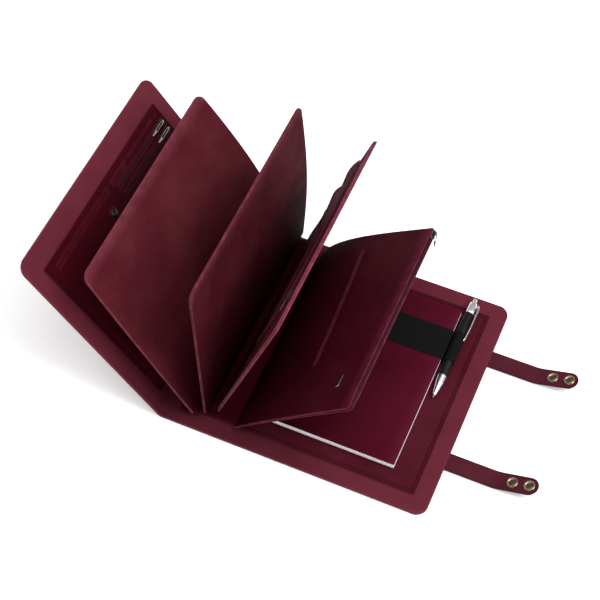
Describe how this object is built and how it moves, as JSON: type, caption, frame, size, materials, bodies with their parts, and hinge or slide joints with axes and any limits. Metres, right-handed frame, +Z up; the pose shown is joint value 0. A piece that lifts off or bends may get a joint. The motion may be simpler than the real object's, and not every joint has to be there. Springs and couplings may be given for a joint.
{
  "type": "portfolio case",
  "caption": "Leather portfolio case lying open: hinged covers and spine, turning leaves with zip pockets, a held notebook and pen, and press-stud closing straps.",
  "frame": {"origin": "centre of the back cover's flat underside", "axes": "+X from the spine to the back cover's free edge, +Y along the spine away from the viewer, +Z up from the surface that the back cover lies on"},
  "size_m": [0.5426, 0.28, 0.235],
  "materials": {
    "outer_leather": "smooth burgundy leather, satin, lighter along its edges",
    "panel_leather": "darker burgundy leather, satin, with a creased border",
    "leaf_leather": "smooth burgundy leather with a soft sheen",
    "strap_leather": "smooth leather with dark painted edges",
    "stiffener": "dense grey board, hidden",
    "notebook_skin": "smooth satin leather cover",
    "pages": "cut page edges",
    "elastic": "ribbed black elastic webbing",
    "zip_tape": "woven tape with a nylon coil",
    "nickel": "polished nickel plate",
    "gunmetal": "dark satin plate",
    "antique_brass": "worn antique brass",
    "pen_chrome": "polished chrome",
    "pen_grip": "satin black",
    "refill_metal": "plain metal tube"
  },
  "bodies": {
    "back_cover": {"back_cover_leather": "outer_leather", "back_cover_board": "stiffener", "back_cover_lining": "outer_leather", "back_panel": "panel_leather", "notebook_band": "elastic", "pen_loop": "elastic"},
    "spine": {"spine_leather": "outer_leather", "spine_board": "stiffener", "spine_lining": "outer_leather"},
    "front_fold": {"front_fold_strip": "outer_leather"},
    "front_cover": {"front_cover_leather": "outer_leather", "front_cover_board": "stiffener", "front_cover_lining": "outer_leather", "front_panel": "panel_leather", "front_panel_snap": "gunmetal", "front_inner_zip_tape": "zip_tape", "front_outer_zip_tape": "zip_tape", "far_stud": "antique_brass", "near_stud": "antique_brass"},
    "front_inner_slider": {"front_inner_zip_slider": "nickel"},
    "front_inner_pull": {"front_inner_zip_pull": "nickel"},
    "front_outer_slider": {"front_outer_zip_slider": "nickel"},
    "front_outer_pull": {"front_outer_zip_pull": "nickel"},
    "leaf_1_root": {"leaf_1_strip": "leaf_leather"},
    "leaf_1": {"leaf_1_face": "leaf_leather", "leaf_1_back": "leaf_leather"},
    "leaf_2_root": {"leaf_2_strip": "leaf_leather"},
    "leaf_2": {"leaf_2_face": "leaf_leather", "leaf_2_back": "leaf_leather"},
    "leaf_3_root": {"leaf_3_strip": "leaf_leather"},
    "leaf_3": {"leaf_3_core": "leaf_leather", "leaf_3_panel": "leaf_leather", "leaf_3_lower_zip_tape": "zip_tape", "leaf_3_upper_zip_tape": "zip_tape"},
    "leaf_3_lower_slider": {"leaf_3_lower_zip_slider": "gunmetal"},
    "leaf_3_lower_pull": {"leaf_3_lower_zip_pull": "gunmetal"},
    "leaf_3_upper_slider": {"leaf_3_upper_zip_slider": "gunmetal"},
    "leaf_3_upper_pull": {"leaf_3_upper_zip_pull": "gunmetal"},
    "leaf_4_root": {"leaf_4_strip": "leaf_leather"},
    "leaf_4": {"leaf_4_face": "leaf_leather", "leaf_4_back": "leaf_leather", "leaf_4_gusset": "leaf_leather", "leaf_4_zip_tape": "zip_tape"},
    "leaf_4_slider": {"leaf_4_zip_slider": "gunmetal"},
    "leaf_4_pull": {"leaf_4_zip_pull": "gunmetal"},
    "far_strap": {"far_strap_lower": "strap_leather"},
    "far_strap_end": {"far_strap_upper": "strap_leather", "far_socket_inner": "antique_brass", "far_socket_outer": "antique_brass"},
    "near_strap": {"near_strap_lower": "strap_leather"},
    "near_strap_end": {"near_strap_upper": "strap_leather", "near_socket_inner": "antique_brass", "near_socket_outer": "antique_brass"},
    "notebook": {"notebook_cover": "notebook_skin", "notebook_pages": "pages"},
    "pen": {"pen_barrel": "pen_grip", "pen_tip_cone": "pen_chrome", "pen_clip": "pen_chrome"},
    "pen_button": {"pen_button": "pen_chrome"},
    "pen_refill": {"pen_refill": "refill_metal"}
  },
  "joints": [
    {"name": "spine_fold", "type": "hinge", "parent": "back_cover", "child": "spine", "pos_m": [-0.12, 0, 0.004], "axis": [0, 1, 0], "range_deg": [0, 90]},
    {"name": "front_cover_open", "type": "hinge", "parent": "spine", "child": "front_fold", "pos_m": [-0.183, 0, 0.004], "axis": [0, 1, 0], "range_deg": [-55, 0]},
    {"name": "front_cover_fold", "type": "hinge", "parent": "front_fold", "child": "front_cover", "pos_m": [-0.18643, 0, 0.00892], "axis": [0, 1, 0], "range_deg": [0, 41]},
    {"name": "front_inner_zip", "type": "slide", "parent": "front_cover", "child": "front_inner_slider", "axis": [0, 1, 0], "range_m": [-0.092, 0]},
    {"name": "front_inner_pull_swing", "type": "hinge", "parent": "front_inner_slider", "child": "front_inner_pull", "pos_m": [-0.28504, 0.1135, 0.15814], "axis": [0.5721, 0, -0.8202], "range_deg": [-150, 0]},
    {"name": "front_outer_zip", "type": "slide", "parent": "front_cover", "child": "front_outer_slider", "axis": [0, 1, 0], "range_m": [-0.092, 0]},
    {"name": "front_outer_pull_swing", "type": "hinge", "parent": "front_outer_slider", "child": "front_outer_pull", "pos_m": [-0.29111, 0.1135, 0.16683], "axis": [0.5721, 0, -0.8202], "range_deg": [-150, 0]},
    {"name": "leaf_1_lean", "type": "hinge", "parent": "spine", "child": "leaf_1_root", "pos_m": [-0.156, 0, 0.0055], "axis": [0, 1, 0], "range_deg": [-77.3, 0]},
    {"name": "leaf_1_turn", "type": "hinge", "parent": "back_cover", "child": "leaf_1", "pos_m": [-0.1174, 0, 0.0138], "axis": [0, 1, 0], "range_deg": [0, 118.5]},
    {"name": "leaf_2_lean", "type": "hinge", "parent": "spine", "child": "leaf_2_root", "pos_m": [-0.149, 0, 0.0055], "axis": [0, 1, 0], "range_deg": [-98.2, 0]},
    {"name": "leaf_2_turn", "type": "hinge", "parent": "back_cover", "child": "leaf_2", "pos_m": [-0.1073, 0, 0.0088], "axis": [0, 1, 0], "range_deg": [0, 90.6]},
    {"name": "leaf_3_lean", "type": "hinge", "parent": "spine", "child": "leaf_3_root", "pos_m": [-0.14, 0, 0.0055], "axis": [0, 1, 0], "range_deg": [-102.1, 0]},
    {"name": "leaf_3_turn", "type": "hinge", "parent": "back_cover", "child": "leaf_3", "pos_m": [-0.1015, 0, 0.0051], "axis": [0, 1, 0], "range_deg": [0, 70.6]},
    {"name": "leaf_3_lower_zip", "type": "slide", "parent": "leaf_3", "child": "leaf_3_lower_slider", "axis": [0, 1, 0], "range_m": [-0.207, 0]},
    {"name": "leaf_3_lower_pull_swing", "type": "hinge", "parent": "leaf_3_lower_slider", "child": "leaf_3_lower_pull", "pos_m": [-0.09784, 0.1155, 0.10487], "axis": [0.3338, 0, 0.9426], "range_deg": [-150, 0]},
    {"name": "leaf_3_upper_zip", "type": "slide", "parent": "leaf_3", "child": "leaf_3_upper_slider", "axis": [0, 1, 0], "range_m": [-0.033, 0.174]},
    {"name": "leaf_3_upper_pull_swing", "type": "hinge", "parent": "leaf_3_upper_slider", "child": "leaf_3_upper_pull", "pos_m": [-0.06446, -0.0585, 0.19913], "axis": [0.3338, 0, 0.9426], "range_deg": [-150, 0]},
    {"name": "leaf_4_lean", "type": "hinge", "parent": "spine", "child": "leaf_4_root", "pos_m": [-0.13, 0, 0.0055], "axis": [0, 1, 0], "range_deg": [-103.6, 0]},
    {"name": "leaf_4_turn", "type": "hinge", "parent": "back_cover", "child": "leaf_4", "pos_m": [-0.0778, 0, 0.0035], "axis": [0, 1, 0], "range_deg": [0, 45.6]},
    {"name": "leaf_4_zip", "type": "slide", "parent": "leaf_4", "child": "leaf_4_slider", "axis": [0, 1, 0], "range_m": [-0.22, 0]},
    {"name": "leaf_4_pull_swing", "type": "hinge", "parent": "leaf_4_slider", "child": "leaf_4_pull", "pos_m": [0.03049, 0.1075, 0.14181], "axis": [0.7133, 0, -0.7009], "range_deg": [-140, 18]},
    {"name": "far_strap_lift", "type": "hinge", "parent": "back_cover", "child": "far_strap", "pos_m": [0.1225, 0.069, 0.002], "axis": [0, -1, 0], "range_deg": [0, 90]},
    {"name": "far_strap_bend", "type": "hinge", "parent": "far_strap", "child": "far_strap_end", "pos_m": [0.1745, 0.069, 0.002], "axis": [0, -1, 0], "range_deg": [0, 64.5]},
    {"name": "near_strap_lift", "type": "hinge", "parent": "back_cover", "child": "near_strap", "pos_m": [0.1225, -0.069, 0.002], "axis": [0, -1, 0], "range_deg": [0, 90]},
    {"name": "near_strap_bend", "type": "hinge", "parent": "near_strap", "child": "near_strap_end", "pos_m": [0.1745, -0.069, 0.002], "axis": [0, -1, 0], "range_deg": [0, 64.5]},
    {"name": "notebook_slide", "type": "slide", "parent": "back_cover", "child": "notebook", "axis": [0, 1, 0], "range_m": [-0.215, 0]},
    {"name": "pen_slide", "type": "slide", "parent": "back_cover", "child": "pen", "axis": [0, -1, 0], "range_m": [-0.15, 0]},
    {"name": "pen_button_press", "type": "slide", "parent": "pen", "child": "pen_button", "axis": [0, -1, 0], "range_m": [0, 0.003], "stiffness_N_per_m": 300},
    {"name": "pen_refill_feed", "type": "slide", "parent": "pen", "child": "pen_refill", "axis": [0, -1, 0], "range_m": [0, 0.003]}
  ],
  "couplings": [
    {"joint": "front_cover_fold", "follows": "spine_fold", "ratio": 0.45444},
    {"joint": "leaf_1_lean", "follows": "spine_fold", "ratio": -0.85793},
    {"joint": "leaf_1_turn", "follows": "spine_fold", "ratio": 1.3156},
    {"joint": "leaf_2_lean", "follows": "spine_fold", "ratio": -1.0901},
    {"joint": "leaf_2_turn", "follows": "spine_fold", "ratio": 1.0056},
    {"joint": "leaf_3_lean", "follows": "spine_fold", "ratio": -1.1339},
    {"joint": "leaf_3_turn", "follows": "spine_fold", "ratio": 0.78333},
    {"joint": "leaf_4_lean", "follows": "spine_fold", "ratio": -1.15},
    {"joint": "leaf_4_turn", "follows": "spine_fold", "ratio": 0.50556},
    {"joint": "far_strap_bend", "follows": "far_strap_lift", "ratio": 0.71111},
    {"joint": "near_strap_bend", "follows": "near_strap_lift", "ratio": 0.71111},
    {"joint": "pen_refill_feed", "follows": "pen_button_press", "ratio": 1}
  ]
}
